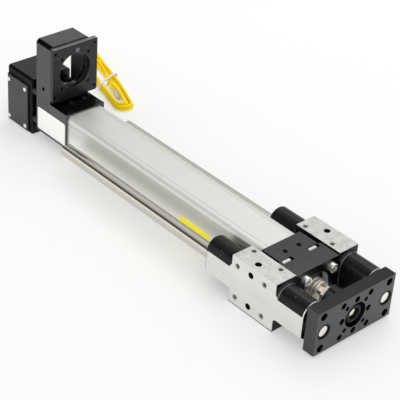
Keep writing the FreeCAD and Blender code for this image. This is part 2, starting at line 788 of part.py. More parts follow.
def cover_screws():
    length = cover_thickness + box_wall
    return [socket_screw(V(x, -box_half - cover_thickness, z), Y_AXIS, cover_screw_r, length,
                         cover_screw_head_r, cover_screw_head_r / 2)
            for x, z in cover_screw_places()]


def box_pillars():
    return [bar_x(x_box_front, x_housing_rear, y, z, pillar_r) for y, z in pillar_places()]


def feedback_rotor():
    front = x_box_front - box_wall - free_clearance
    rear = x_box_front - box_wall - rotor_length
    middle = (front + rear) / 2
    hub = bar_x(rear, front, 0, axis_z, rotor_hub_r)
    disc = bar_x(middle - rotor_disc_width / 2, middle + rotor_disc_width / 2, 0, axis_z, rotor_disc_r)
    return hub.fuse(disc).cut(bar_x(rear, front, 0, axis_z, tail_shaft_r)).removeSplitter()


def feedback_module():
    start = x_box_rear + box_wall
    return bar_x(start, start + module_length, 0, axis_z, module_r)


def cable_gland():
    foot = V(x_box_rear + gland_x, box_half, gland_z)
    hexagon = hex_bar(foot, Y_AXIS, gland_hex_width, gland_hex_length)
    dome = Part.makeCone(gland_dome_r, cable_r + gland_mouth_wall, gland_dome_length,
                         foot + Y_AXIS * gland_hex_length, Y_AXIS)
    length = gland_hex_length + gland_dome_length
    return hexagon.fuse(dome).cut(bar(foot, Y_AXIS, cable_r, length)).removeSplitter()


def rounded_path(points):
    """Straight runs joined by tangent arcs, each as large as its two runs allow."""
    edges = []
    at = points[0]
    for before, here, after in zip(points, points[1:], points[2:]):
        into = (here - before).normalize()
        out = (after - here).normalize()
        turn = into.getAngle(out)
        tangent = bend_share * min((here - before).Length, (after - here).Length)
        radius = tangent / math.tan(turn / 2)
        print("cable bend radius %.1f mm" % radius)
        start = here - into * tangent
        end = here + out * tangent
        inward = (out - into).normalize()
        middle = here + inward * (radius / math.cos(turn / 2) - radius)
        edges += [Part.makeLine(at, start), Part.Arc(start, middle, end).toShape()]
        at = end
    edges.append(Part.makeLine(at, points[-1]))
    return Part.Wire(edges)


def cable(points):
    path = rounded_path(points)
    section = Part.Wire([Part.makeCircle(cable_r, points[0], points[1] - points[0])])
    tube = path.makePipeShell([section], True, False)
    print("cable tube %.0f mm3, section times length %.0f mm3"
          % (tube.Volume, math.pi * cable_r ** 2 * path.Length))
    return tube


def sensor_cable():
    mouth = V(x_box_rear + gland_x, box_half + gland_hex_length + gland_dome_length, gland_z)
    return cable([mouth] + cable_route)


def belt_outline(nose, nose_r, tail, tail_r):
    """Loop of two arcs and their two common tangents."""
    along = tail - nose
    heading = math.atan2(along.y, along.x)
    spread = math.acos((nose_r - tail_r) / along.Length)

    def on(centre, r, turn):
        return centre + V(r * math.cos(turn), r * math.sin(turn), 0)

    left = heading + spread
    right = heading - spread
    tail_arc = Part.Arc(on(tail, tail_r, left), on(tail, tail_r, heading), on(tail, tail_r, right))
    nose_arc = Part.Arc(on(nose, nose_r, right), on(nose, nose_r, heading + math.pi), on(nose, nose_r, left))
    lines = [Part.makeLine(on(tail, tail_r, right), on(nose, nose_r, right)),
             Part.makeLine(on(nose, nose_r, left), on(tail, tail_r, left))]
    return Part.Wire([tail_arc.toShape(), lines[0], nose_arc.toShape(), lines[1]])


def cable_tie():
    """Flat band round the whole hank, a little askew."""
    along = hank_tail - hank_nose
    middle = hank_nose + along * tie_at
    reach = hank_nose_r + (hank_tail_r - hank_nose_r) * tie_at + tie_thickness
    reach = reach / math.cos(math.radians(tie_skew))
    outer = block(-tie_width / 2, tie_width / 2, -reach, reach, 0, hank_height + tie_thickness)
    inner = block(-tie_width / 2, tie_width / 2, -reach + tie_thickness, reach - tie_thickness,
                  tie_thickness, hank_height)
    band = outer.cut(inner)
    band.Placement = FreeCAD.Placement(middle, FreeCAD.Rotation(
        Z_AXIS, math.degrees(math.atan2(along.y, along.x)) + tie_skew))
    return band


def cable_hank():
    up = V(0, 0, hank_height)
    outer = belt_outline(hank_nose, hank_nose_r, hank_tail, hank_tail_r)
    inner = belt_outline(hank_nose, hank_nose_r - hank_band, hank_tail, hank_tail_r - hank_band)
    ring = Part.Face(outer).extrude(up).cut(Part.Face(inner).extrude(up))
    return ring.cut(cable_tie())


def connector_axis():
    turn = math.radians(connector_turn)
    return V(math.cos(turn), math.sin(turn), 0)


def cable_connector():
    axis = connector_axis()
    start = connector_middle - axis * (connector_length / 2) + V(0, 0, connector_r)
    body_length = connector_length - connector_boot_length
    body = bar(start, axis, connector_r, body_length)
    boot = Part.makeCone(connector_r, cable_r + boot_wall, connector_boot_length,
                         start + axis * body_length, axis)
    return body.fuse(boot).removeSplitter()


def cable_end():
    axis = connector_axis()
    across = axis.cross(Z_AXIS)
    start = connector_middle + axis * (connector_length / 2) + V(0, 0, connector_r)
    bend = start + axis * cable_end_start
    return cable([start, bend, bend + axis * cable_end_reach + across * cable_end_drift])


def main():
    os.makedirs("parts", exist_ok=True)
    block_right = guide_block()
    bearings_right = Part.makeCompound(linear_bearings())
    wipers_right = Part.makeCompound(guide_wipers())
    rod_right = guide_rod()
    hank = cable_hank()
    nodes = {
        "profile_tube": profile_tube(),
        "front_head": front_head(),
        "rod_bushing": rod_bushing(),
        "rod_wiper": rod_wiper(),
        "head_screws": head_screws(),
        "clamp_screws": clamp_screws(),
        "head_set_screws": head_set_screws(),
        "guide_block_left": mirrored(block_right).cut(clamp_thread()),
        "guide_block_right": block_right,
        "linear_bearings_left": mirrored(bearings_right),
        "linear_bearings_right": bearings_right,
        "guide_wipers_left": mirrored(wipers_right),
        "guide_wipers_right": wipers_right,
        "thread_inserts": thread_inserts(),
        "rear_cap": rear_cap(),
        "cap_bolts": cap_bolts(),
        "cap_screws": cap_screws(),
        "screw_bearings": screw_bearings(),
        "bearing_retainer": bearing_retainer(),
        "belt_housing": belt_housing(),
        "housing_screws": housing_screws(),
        "motor_flange": motor_flange(),
        "flange_screws": flange_screws(),
        "flange_dowel": flange_dowel(),
        "rear_box": rear_box(),
        "rear_box_cover": rear_box_cover(),
        "cover_screws": cover_screws(),
        "box_pillars": box_pillars(),
        "feedback_module": feedback_module(),
        "cable_gland": cable_gland(),
        "sensor_cable": sensor_cable().cut(hank),
        "cable_hank": hank,
        "cable_tie": cable_tie(),
        "cable_end": cable_end().cut(hank),
        "cable_connector": cable_connector(),
        "front_plate": front_plate(),
        "guide_rod_left": mirrored(rod_right),
        "guide_rod_right": rod_right,
        "piston_rod": piston_rod(),
        "rod_stud": rod_stud(),
        "jam_nut": jam_nut(),
        "coupling_nut": coupling_nut(),
        "ball_nut": ball_nut(),
        "nut_guide_ring": nut_guide_ring(),
        "ball_screw": ball_screw(),
        "screw_locknut": screw_locknut(),
        "driven_pulley": driven_pulley(),
        "feedback_rotor": feedback_rotor(),
    }
    for name, shape in nodes.items():
        if isinstance(shape, list):
            shape = Part.makeCompound(shape)
        shape.exportStep(os.path.join("parts", name + ".step"))


main()
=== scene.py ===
import json
import math

import bpy
from mathutils import Matrix, Quaternion, Vector


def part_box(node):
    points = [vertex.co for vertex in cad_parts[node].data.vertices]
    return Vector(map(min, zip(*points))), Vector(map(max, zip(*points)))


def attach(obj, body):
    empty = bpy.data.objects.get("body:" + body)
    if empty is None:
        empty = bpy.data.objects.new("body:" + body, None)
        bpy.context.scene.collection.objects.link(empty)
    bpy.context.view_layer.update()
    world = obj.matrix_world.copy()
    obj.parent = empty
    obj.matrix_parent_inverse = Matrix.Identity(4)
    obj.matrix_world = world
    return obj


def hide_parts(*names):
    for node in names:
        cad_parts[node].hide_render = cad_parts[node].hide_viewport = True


# Looks of the guided electric cylinder. Metres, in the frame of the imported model:
# X runs forward to the tool plate, Z is up, and -Y is the side towards the camera.

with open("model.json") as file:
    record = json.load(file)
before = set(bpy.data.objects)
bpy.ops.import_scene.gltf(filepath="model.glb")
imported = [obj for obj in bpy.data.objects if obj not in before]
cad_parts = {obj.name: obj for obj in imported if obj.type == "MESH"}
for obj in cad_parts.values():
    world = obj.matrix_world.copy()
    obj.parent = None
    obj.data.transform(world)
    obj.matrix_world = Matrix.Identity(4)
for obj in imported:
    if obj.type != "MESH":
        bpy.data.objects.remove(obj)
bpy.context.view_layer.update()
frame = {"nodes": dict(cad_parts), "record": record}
nodes = frame["nodes"]
FIXED = "cylinder_body"
MOVING = "rod_carriage"
TAU = 2 * math.pi
SHARP_ANGLE = math.radians(24)

# Camera
CAMERA_PLACE = Vector((1.14337, -1.05106, 1.05224))
CAMERA_AZIMUTH = math.radians(46.043)
CAMERA_ELEVATION = math.radians(33.531)
CAMERA_ROLL = math.radians(4.368)
CAMERA_LENS = 122.17
CAMERA_SENSOR = 36.0

# Sky over the arch from -Y to +Y: share of the half turn, and the level there
SKY = [(0.0, 0.75), (0.05, 1.0), (0.28, 1.0), (0.50, 0.72), (0.75, 0.68), (1.0, 0.50)]
SKY_STRENGTH = 1.30
# Dark flag over the rear on the -Y side: share of the half turn, and how much it takes there
FLAG = [(0.14, 0.0), (0.20, 0.95), (0.34, 0.9), (0.42, 0.4), (0.58, 0.1)]
FLAG_FADE = (-0.30, -0.45)    # X of the way to the sky where it starts and where it is full

# Key lamp and floor
KEY_PLACE = Vector((-0.6, 1.3, 2.2))
KEY_AIM = Vector((0, 0, 0))
KEY_SIZE = 1.6
KEY_POWER = 9
FLOOR_REACH = 6.0
FLOOR_DROP = 0.0003           # keeps the floor just under what stands on it
FLOOR_GLOW = 0.38             # share of plain white in the floor, as the camera and mirrors see it

# Cable, as in the part's source
CABLE_R = 0.00225
GLAND_MOUTH = Vector((-0.322, 0.04825, 0.030))
LEAD_ROUTE = [
    GLAND_MOUTH,
    Vector((-0.322, 0.070, 0.030)), Vector((-0.330, 0.094, 0.019)), Vector((-0.348, 0.112, 0.007)),
    Vector((-0.372, 0.124, 0.00225)), Vector((-0.396, 0.140, 0.00225)),
]

# Hank: the middles and radii of the folds of its outline
HANK_NOSE = Vector((-0.2675, 0.1285, 0))
HANK_TAIL = Vector((-0.417, 0.176, 0))
HANK_NOSE_R = 0.0165
HANK_TAIL_R = 0.019
# Each strand's distance inside the outline and its height, in cable diameters
FAR_STRANDS = [(0.5, 0.5), (1.5, 0.5), (2.5, 0.5), (3.4, 0.5), (1.0, 1.37), (2.0, 1.37)]
NEAR_STRANDS = [(0.5, 0.5), (1.5, 0.5), (1.5, 1.5), (0.7, 2.37), (0.5, 1.5)]
FAR_BOW = 0.0045              # how far the far run swells out in the middle
# Points of one turn: places on the runs as shares of the way from nose to tail, and corners in the folds
FAR_SHARES = (0.82, 0.52)
FAR_CLIMB = 0.2               # here the far run has reached the height of the next near run
NEAR_SHARES = (0.18, 0.48, 0.8)
TAIL_CORNERS = 4
NOSE_CORNERS = 3
LAST_TURN_POINTS = 7          # the last turn ends just after the tail's fold

# Connector and the loose end that leads to it
CONNECTOR_R = 0.0039
CONNECTOR_MIDDLE = Vector((-0.296, 0.138, CONNECTOR_R))
CONNECTOR_TURN = math.radians(162)
CONNECTOR_LENGTH = 0.022
CONNECTOR_SIDES = 32
BOOT_LENGTH = 0.008
END_STRAIGHT = 0.014
END_REACH = 0.0264
END_DRIFT = 0.006

# Tie
TIE_SHARE = 0.455             # its place between the hank's nose and tail
TIE_SKEW = math.radians(40)
TIE_WIDTH = 0.0036
TIE_THICKNESS = 0.0011
TIE_SIDES = 56
TIE_ROUNDNESS = 0.4           # power of the band's rounded box: 1 is an ellipse

# Recess round the rod in the head's front face, as in the part's source
RECESS_R = 0.0225
RECESS_DEPTH = 0.010

# Labels
LABEL_LOW = Vector((-0.267, 0, 0.0187))
LABEL_HIGH = Vector((-0.201, 0, 0.0545))
LABEL_CORNER = 0.003
STICKER_LOW = Vector((0.050, 0, 0.018))
STICKER_HIGH = Vector((0.110, 0, 0.036))
STICKER_CORNER = 0.0015
LABEL_THICKNESS = 0.00015
CORNER_STEPS = 6

# Rod stud's thread
THREAD_PITCH = 0.002
THREAD_DEPTH = 0.0012
THREAD_SIDES = 40
THREAD_STEPS = 8
THREAD_FLANK = 1.3            # how much steeper its flanks are than an even zigzag's
THREAD_CREST = 0.15           # how much of the zigzag its flat crest cuts off

# Colours and gloss of the finishes
BLACK = (0.0025, 0.0025, 0.0026)
BLACK_CLOUD = (0.004, 0.004, 0.0041)
BLACK_DUST = (0.006, 0.006, 0.006)
BLACK_WEAR = (0.22, 0.22, 0.215)
BLACK_IOR = 1.63
HOUSING_IOR = 1.77
CAP_IOR = 1.90
PLATE_IOR = 1.80
HEAD_IOR = 1.50
TUBE_IOR = 1.32
FLANGE_IOR = 1.47
BOX_IOR = 1.33
SATIN = (0.69, 0.695, 0.665)
SATIN_CLOUD = (0.72, 0.725, 0.695)
# painted light on the lower sides of the profile
SATIN_PAINTED_LIGHT = (0.95, 0.95, 0.92)
BARE = (0.72, 0.715, 0.69)
BARE_CLOUD = (0.79, 0.785, 0.765)
BARE_TOP_DARK = (0.44, 0.435, 0.42)
GROUND = (0.57, 0.55, 0.485)
GROUND_CLOUD = (0.61, 0.59, 0.525)
FACED = (0.92, 0.90, 0.84)
# painted shade in the inserts' bores
BORE_SHADE = (0.02, 0.02, 0.02)
INSERT = (0.66, 0.66, 0.64)
INSERT_CLOUD = (0.78, 0.78, 0.76)
LABEL_COLOR = (0.97, 0.97, 0.95)
LABEL_SOIL = (0.90, 0.89, 0.86)
STICKER_COLOR = (1.0, 0.88, 0.01)
STICKER_SOIL = (0.96, 0.78, 0.01)
# the sticker glows a little: painted light that brightens it in the shade of the guide rod
STICKER_PAINTED_GLOW = 0.25
FLOOR_COLOR = (0.945, 0.945, 0.94)
FLOOR_CLOUD = (0.955, 0.955, 0.95)

# Noise: how much each axis is stretched, and the depth of its relief
ALONG_X = (0.05, 20.0, 20.0)
ROUND_X = (20.0, 0.3, 0.3)
ALL_WAYS = (1.0, 1.0, 1.0)
MILLED = (0.25, 6.0, 6.0)
MILLED_GRAIN = (0.3, 1.0, 1.0)
LINE_DEPTH = 0.00001
GRAIN_DEPTH = 0.00002
SOFT_EDGE = 0.0003            # radius by which edges look rounded
WORN_EDGE = 0.0005            # radius within which edges look worn
FLAT = 0.9                    # a face looks along an axis if its normal has this much of it


class Look:
    """A procedural material, with short forms for the nodes that the looks share."""

    def __init__(self, name, color, metallic=0.0, roughness=0.5, **constants):
        self.material = bpy.data.materials.new(name)
        self.material.use_nodes = True
        self.tree = self.material.node_tree
        self.shader = self.tree.nodes["Principled BSDF"]
        self.put("Base Color", (*color, 1.0))
        self.put("Metallic", metallic)
        self.put("Roughness", roughness)
        for socket, value in constants.items():
            self.put(socket.replace("_", " ").title().replace("Ior", "IOR"), value)

    def feed(self, socket, value):
        """Link an output to a socket, or set a number or colour on it."""
        if isinstance(value, bpy.types.NodeSocket):
            self.tree.links.new(value, socket)
        elif isinstance(value, tuple) and len(value) == 3 and len(socket.default_value) == 4:
            socket.default_value = (*value, 1.0)
        else:
            socket.default_value = value

    def put(self, socket, value):
        """Feed a socket of the shader."""
        self.feed(self.shader.inputs[socket], value)

    def node(self, kind, **inputs):
        """A new node of that kind, with its inputs fed."""
        made = self.tree.nodes.new("ShaderNode" + kind)
        for name, value in inputs.items():
            self.feed(made.inputs[name], value)
        return made

    def math(self, operation, a, b=0.0):
        """Output of a Math node."""
        made = self.node("Math")
        made.operation = operation
        self.feed(made.inputs[0], a)
        self.feed(made.inputs[1], b)
        return made.outputs[0]

    def times(self, a, b):
        return self.math("MULTIPLY", a, b)

    def above(self, value, limit):
        return self.math("GREATER_THAN", value, limit)

    def below(self, value, limit):
        return self.math("LESS_THAN", value, limit)

    def absolute(self, value):
        return self.math("ABSOLUTE", value)

    def around(self, value, middle, reach):
        """1 where value is within reach of middle."""
        made = self.math("COMPARE", value, middle)
        made.node.inputs[2].default_value = reach
        return made

    def distance(self, a, b):
        """Length of a step by a and b along two axes."""
        return self.math("SQRT", self.math("ADD", self.times(a, a), self.times(b, b)))

    def either(self, *masks):
        """The largest of the masks."""
        total = masks[0]
        for mask in masks[1:]:
            total = self.math("MAXIMUM", total, mask)
        return total

    def axes(self):
        """X, Y and Z in the shared frame."""
        place = self.node("TexCoord").outputs["Object"]
        return self.node("SeparateXYZ", Vector=place).outputs

    def noise(self, scale, detail=4.0, stretch=ALL_WAYS):
        """Noise in the shared frame, with scale spots per metre."""
        place = self.node("TexCoord").outputs["Object"]
        scaled = self.node("Mapping", Vector=place, Scale=stretch).outputs["Vector"]
        return self.node("TexNoise", Vector=scaled, Scale=scale, Detail=detail).outputs["Fac"]

    def span(self, value, low, high, to_low=0.0, to_high=1.0):
        """Value carried from one range to another, and held at its ends."""
        made = self.node("MapRange", Value=value)
        for name, level in zip(("From Min", "From Max", "To Min", "To Max"), (low, high, to_low, to_high)):
            made.inputs[name].default_value = level
        return made.outputs["Result"]

    def between(self, share, a, b):
        """Number a where share is 0 and b where it is 1."""
        made = self.node("Mix")
        made.data_type = "FLOAT"
        for socket, value in zip((made.inputs[0], made.inputs[2], made.inputs[3]), (share, a, b)):
            self.feed(socket, value)
        return made.outputs[0]

    def mix(self, share, a, b):
        """Colour a where share is 0 and b where it is 1."""
        made = self.node("Mix")
        made.data_type = "RGBA"
        for socket, value in zip((made.inputs[0], made.inputs[6], made.inputs[7]), (share, a, b)):
            self.feed(socket, value)
        return made.outputs[2]

    def rounded(self, radius):
        """Normals of edges rounded by a small radius."""
        made = self.node("Bevel", Radius=radius)
        made.samples = 6
        return made.outputs["Normal"]

    def edges(self, radius):
        """1 on sharp outer edges, 0 on flat faces."""
        true = self.node("NewGeometry").outputs["Normal"]
        made = self.node("VectorMath")
        made.operation = "DOT_PRODUCT"
        self.feed(made.inputs[0], self.rounded(radius))
        self.feed(made.inputs[1], true)
        return self.span(made.outputs["Value"], 0.995, 0.90)

    def upward(self):
        """1 on faces that look up."""
        normal = self.node("NewGeometry").outputs["Normal"]
        return self.span(self.node("SeparateXYZ", Vector=normal).outputs["Z"], 0.5, 0.95)

    def facing(self):
        """X, Y and Z of the way that a face looks."""
        return self.node("SeparateXYZ", Vector=self.node("NewGeometry").outputs["True Normal"]).outputs

    def relief(self, height, distance):
        """Bump of that depth over softly rounded edges."""
        soft = self.rounded(SOFT_EDGE)
        made = self.node("Bump", Strength=1.0, Distance=distance, Height=height, Normal=soft)
        self.put("Normal", made.outputs["Normal"])


def black_coat(look):
    """Colour and roughness of black anodising with specks, chips, dust and worn edges."""
    cloud = look.span(look.noise(45, 5), 0.3, 0.7)
    speck = look.span(look.noise(700, 3), 0.66, 0.74)
    chip = look.span(look.noise(330, 1), 0.735, 0.76, 0.0, 0.5)
    dust = look.times(look.upward(), look.span(look.noise(160, 6), 0.35, 0.75, 0.1, 0.7))
    worn = look.times(look.edges(WORN_EDGE), look.span(look.noise(120, 5), 0.35, 0.65, 0.25, 0.9))
    color = look.mix(cloud, BLACK, BLACK_CLOUD)
    color = look.mix(look.either(dust, look.times(speck, 0.5)), color, BLACK_DUST)
    roughness = look.between(look.upward(), look.span(cloud, 0, 1, 0.34, 0.42), 0.24)
    return look.mix(look.either(worn, chip), color, BLACK_WEAR), roughness


def bare_coat(look):
    """Colour and roughness of milled bare aluminium, streaked along X and darker in blotches on faces that
    look up.
    """
    streak = look.noise(40, 4, MILLED)
    cloud = look.noise(30, 6)
    share = look.span(look.math("ADD", streak, cloud), 0.75, 1.25)
    blotches = look.times(look.upward(), look.span(look.noise(420, 6), 0.30, 0.75, 0.45, 0.9))
    blotches = look.times(blotches, look.span(look.noise(110, 5), 0.34, 0.66, 0.85, 1.3))
    color = look.mix(blotches, look.mix(share, BARE, BARE_CLOUD), BARE_TOP_DARK)
    return color, look.span(streak, 0.3, 0.7, 0.30, 0.42)


def coat(name, ior, bare_of=None, shine=0.8, shade_of=None):
    """Black anodising, bare where bare_of is 1, and deep black as painted shade where the shade mask is 1.

    Both are functions of the look and of X, Y and Z. Shine is how metallic the bare metal is.
    """
    look = Look(name, BLACK, ior=ior)
    color, roughness = black_coat(look)
    metallic = 0.0
    grain = look.noise(2600, 2)
    if bare_of:
        bare = bare_of(look, *look.axes())
        bare_color, bare_rough = bare_coat(look)
        color = look.mix(bare, color, bare_color)
        roughness = look.between(bare, roughness, bare_rough)
        metallic = look.times(bare, shine)
        grain = look.noise(1500, 3, MILLED_GRAIN)
    # painted shade: black without sheen where the shade mask is 1
    if shade_of:
        deep = shade_of(look, *look.axes())
        color = look.mix(deep, color, BLACK)
        metallic = look.either(metallic, deep)
    look.put("Base Color", color)
    look.put("Roughness", roughness)
    look.put("Metallic", metallic)
    look.relief(grain, GRAIN_DEPTH)
    return look.material


def shade_faces(top=0.0, ends=0.0, front=0.0):
    """Mask of painted shade that deepens the black by these shares on faces that look up, along Y and
    forward.
    """

    def mask(look, x, y, z):
        way = look.facing()
        masks = []
        if top:
            masks.append(look.times(look.above(way["Z"], FLAT), top))
        if ends:
            masks.append(look.times(look.above(look.absolute(way["Y"]), FLAT), ends))
        if front:
            masks.append(look.times(look.above(way["X"], FLAT), front))
        return look.either(*masks)

    return mask


def round_top_shade(look, x, y, z):
    """1 on faces that slant upwards, where the rounded top edges get painted shade."""
    least, most = 0.1, 0.97
    rise = look.facing()["Z"]
    return look.times(look.above(rise, least), look.below(rise, most))


def round_top_and_side_shade(look, x, y, z):
    """1 on faces that slant upwards and on those that look along -Y, where they get painted shade."""
    return look.either(round_top_shade(look, x, y, z), look.below(look.facing()["Y"], -FLAT))


def guide_block_finish():
    """Milled bare on top, underside and outer side, with a bright edge and a faint ring on the front tube;
    the ring is a painted highlight of the small fillet at the tube's base, and a black strip along the
    bottom of the outer side is painted shade.
    """
    low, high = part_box("guide_block_right")
    skin = 0.0001
    tail_round = 0.004
    nose = 0.0011
    nose_slant, slant_range = 0.7, 0.2
    # painted shade: the outer side is left black for this height above the bottom, as a dark line along the
    # bottom edge
    bottom_shade = 0.0012
    ring_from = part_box("front_head")[1].x + 0.003
    ring_to = ring_from + 0.0014
    # painted highlight: a faint bright ring on the front tube near its base
    highlight_share = 0.2

    def bare(look, x, y, z):
        way = look.facing()
        out = look.absolute(y)
        side = look.times(look.above(out, high.y - skin), look.above(z, low.z + bottom_shade))
        slanted = look.around(way["X"], nose_slant, slant_range)
        nose_edge = look.times(slanted, look.above(x, high.x - nose))
        tail = look.times(look.below(x, low.x + tail_round), look.above(out, high.y - tail_round))
        tail_side = look.times(tail, look.below(look.absolute(way["Z"]), skin))
        ring = look.times(look.above(x, ring_from), look.below(x, ring_to))
        return look.either(
            look.above(z, high.z - skin),
            look.below(z, low.z + skin),
            side,
            nose_edge,
            tail_side,
            look.times(ring, highlight_share),
        )

    return coat("guide_block_finish", TUBE_IOR, bare)


def tool_plate_finish_and_shade():
    """Black, with the rear end of the boss turned bare, and painted shade that makes it deep black on its
    top, on its ends and in the fine grooves round the guide rods.
    """
    rear_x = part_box("front_plate")[0].x
    rod_low, rod_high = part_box("guide_rod_right")
    rod_y = (rod_low.y + rod_high.y) / 2
    rod_z = (rod_low.z + rod_high.z) / 2
    rod_r = (rod_high.z - rod_low.z) / 2
    rim = 0.0006
    groove_shade_width = 0.0010
    # painted shade: deep black on the top and on the ends
    faces = shade_faces(top=0.8, ends=0.22)

    def bare(look, x, y, z):
        return look.below(x, rear_x + rim)

    def deep(look, x, y, z):
        out = look.math("SUBTRACT", look.absolute(y), rod_y)
        up = look.math("SUBTRACT", z, rod_z)
        # painted shade: deep black in a fine ring round each guide rod
        groove_shade = look.below(look.distance(out, up), rod_r + groove_shade_width)
        return look.either(groove_shade, faces(look, x, y, z))

    return coat("tool_plate_finish_and_shade", PLATE_IOR, bare, shade_of=deep)


def flange_finish_and_highlight():
    """Black, worn bright along the top edge, which is partly wear and partly a painted highlight."""
    top_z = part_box("motor_flange")[1].z
    skin = 0.0006
    # share of bare metal on the top edge: partly wear, partly painted highlight
    worn_and_highlight = 0.35

    def bare(look, x, y, z):
        return look.times(look.above(z, top_z - skin), worn_and_highlight)

    return coat("flange_finish_and_highlight", FLANGE_IOR, bare)


def head_finish_and_shade():
    """Black, with painted shade that darkens it further on its front faces, and the wall of the round
    recess turned bare.
    """
    low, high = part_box("front_head")
    axis_z = (low.z + high.z) / 2
    skin = 0.0002

    def bare(look, x, y, z):
        up = look.math("SUBTRACT", z, axis_z)
        wall = look.around(look.distance(y, up), RECESS_R, skin)
        return look.times(wall, look.above(x, high.x - RECESS_DEPTH + skin))

    # painted shade: darker black on the front faces
    return coat("head_finish_and_shade", HEAD_IOR, bare, shine=0.1, shade_of=shade_faces(front=0.6))


def metal(name, color, tint, roughness, stretch, scale=60, shine=1.0):
    """Bare metal whose fine lines run along the axis that is stretched least."""
    look = Look(name, color, metallic=shine, roughness=roughness)
    line = look.noise(scale, 4, stretch)
    cloud = look.noise(35, 5)
    look.put("Base Color", look.mix(look.span(look.math("ADD", line, cloud), 0.7, 1.3), color, tint))
    look.put("Roughness", look.span(line, 0.3, 0.7, roughness * 0.85, roughness * 1.2))
    look.relief(line, LINE_DEPTH)
    return look.material


def plated(name, color, tint, roughness, shine=1.0):
    """Metal with a fine even grain."""
    return metal(name, color, tint, roughness, ALL_WAYS, scale=300, shine=shine)


def profile_finish_and_light():
    """Satin extrusion, with painted light that makes it paler low on its sides."""
    base_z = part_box("profile_tube")[0].z
    pale_z, plain_z = base_z + 0.024, base_z + 0.042
    look = Look("profile_finish_and_light", SATIN, metallic=0.7, roughness=0.46)
    line = look.noise(60, 4, ALONG_X)
    cloud = look.noise(35, 5)
    satin = look.mix(look.span(look.math("ADD", line, cloud), 0.7, 1.3), SATIN, SATIN_CLOUD)
    sides = look.above(look.absolute(look.facing()["Y"]), FLAT)
    # painted light: the sides get paler towards the bottom, where the guide rods throw light on them
    pale = look.times(look.span(look.axes()["Z"], pale_z, plain_z, 1.0, 0.0), sides)
    look.put("Base Color", look.mix(pale, satin, SATIN_PAINTED_LIGHT))
    look.put("Roughness", look.span(line, 0.3, 0.7, 0.39, 0.55))
    look.relief(line, LINE_DEPTH)
    return look.material


def guide_rod_finish():
    """Ground steel with brightly faced ends."""
    look = Look("guide_rod_finish", GROUND, metallic=1.0, roughness=0.14)
    line = look.noise(60, 4, ROUND_X)
    faced = look.above(look.facing()["X"], FLAT)
    ground = look.mix(look.span(line, 0.3, 0.7), GROUND, GROUND_CLOUD)
    look.put("Base Color", look.mix(faced, ground, FACED))
    look.put("Roughness", look.between(faced, look.span(line, 0.3, 0.7, 0.12, 0.17), 0.30))
    look.relief(line, LINE_DEPTH)
    return look.material


def insert_finish_and_shade():
    """Zinc rings whose threaded bores get painted shade, darker the more closed in they are."""
    look = Look("insert_finish_and_shade", INSERT, metallic=0.75, roughness=0.3)
    grain = look.noise(300)
    # painted shade: the bores are darkened where they are closed in
    open_share = look.node("AmbientOcclusion", Distance=0.004).outputs["AO"]
    pale = look.mix(grain, INSERT, INSERT_CLOUD)
    look.put("Base Color", look.mix(look.span(open_share, 0.08, 0.40), BORE_SHADE, pale))
    look.put("Roughness", look.span(grain, 0.3, 0.7, 0.26, 0.36))
    look.relief(grain, LINE_DEPTH)
    return look.material


def moulded(name, color, tint, roughness, **constants):
    """Plastic or rubber with a fine grain."""
    look = Look(name, color, roughness=roughness, **constants)
    grain = look.noise(1800, 3)
    cloud = look.noise(50, 4)
    look.put("Base Color", look.mix(look.span(cloud, 0.35, 0.65), color, tint))
    look.put("Roughness", look.span(grain, 0.3, 0.7, roughness * 0.85, roughness * 1.15))
    look.relief(grain, GRAIN_DEPTH)
    return look.material


def printed(name, color, tint, **constants):
    """Smooth vinyl label with a little soiling."""
    look = Look(name, color, roughness=0.35, coat_weight=0.15, **constants)
    blotches = look.span(look.noise(90, 6), 0.55, 0.75)
    look.put("Base Color", look.mix(blotches, color, tint))
    look.put("Roughness", look.span(look.noise(400, 3), 0.3, 0.7, 0.30, 0.42))
    return look.material


# The finish of each material slot
looks = {
    "satin_anodised": profile_finish_and_light(),
    "black_anodised": coat("black_anodised", BLACK_IOR),
    "guide_block_finish": guide_block_finish(),
    "polished_steel": guide_rod_finish(),
    "zinc_steel": plated("zinc_steel", (0.80, 0.80, 0.78), (0.90, 0.90, 0.88), 0.22, shine=0.75),
    "black_steel": plated("black_steel", (0.035, 0.035, 0.037), (0.06, 0.06, 0.06), 0.38),
    "nickel_steel": plated("nickel_steel", (0.90, 0.84, 0.70), (0.94, 0.90, 0.80), 0.24),
    "bearing_steel": metal("bearing_steel", (0.52, 0.52, 0.52), (0.60, 0.60, 0.60), 0.22, ROUND_X),
    "bronze": metal("bronze", (0.55, 0.40, 0.20), (0.62, 0.46, 0.26), 0.35, ROUND_X),
    "seal_rubber": moulded("seal_rubber", (0.015, 0.015, 0.015), (0.025, 0.025, 0.025), 0.6),
    "pulley_aluminium": metal("pulley_aluminium", (0.58, 0.58, 0.57), (0.66, 0.66, 0.65), 0.32, ROUND_X),
    "grey_plastic": moulded("grey_plastic", (0.22, 0.22, 0.23), (0.27, 0.27, 0.28), 0.45),
    "pale_plastic": moulded("pale_plastic", (0.74, 0.72, 0.71), (0.82, 0.80, 0.79), 0.40),
    "black_plastic": moulded("black_plastic", (0.02, 0.02, 0.02), (0.03, 0.03, 0.03), 0.45),
    "yellow_jacket": moulded("yellow_jacket", (1.0, 0.71, 0.0), (1.0, 0.80, 0.0), 0.42,
                             specular_ior_level=0.25),
    "clear_nylon": moulded("clear_nylon", (0.82, 0.80, 0.72), (0.88, 0.87, 0.80), 0.30,
                           transmission_weight=0.25),
}

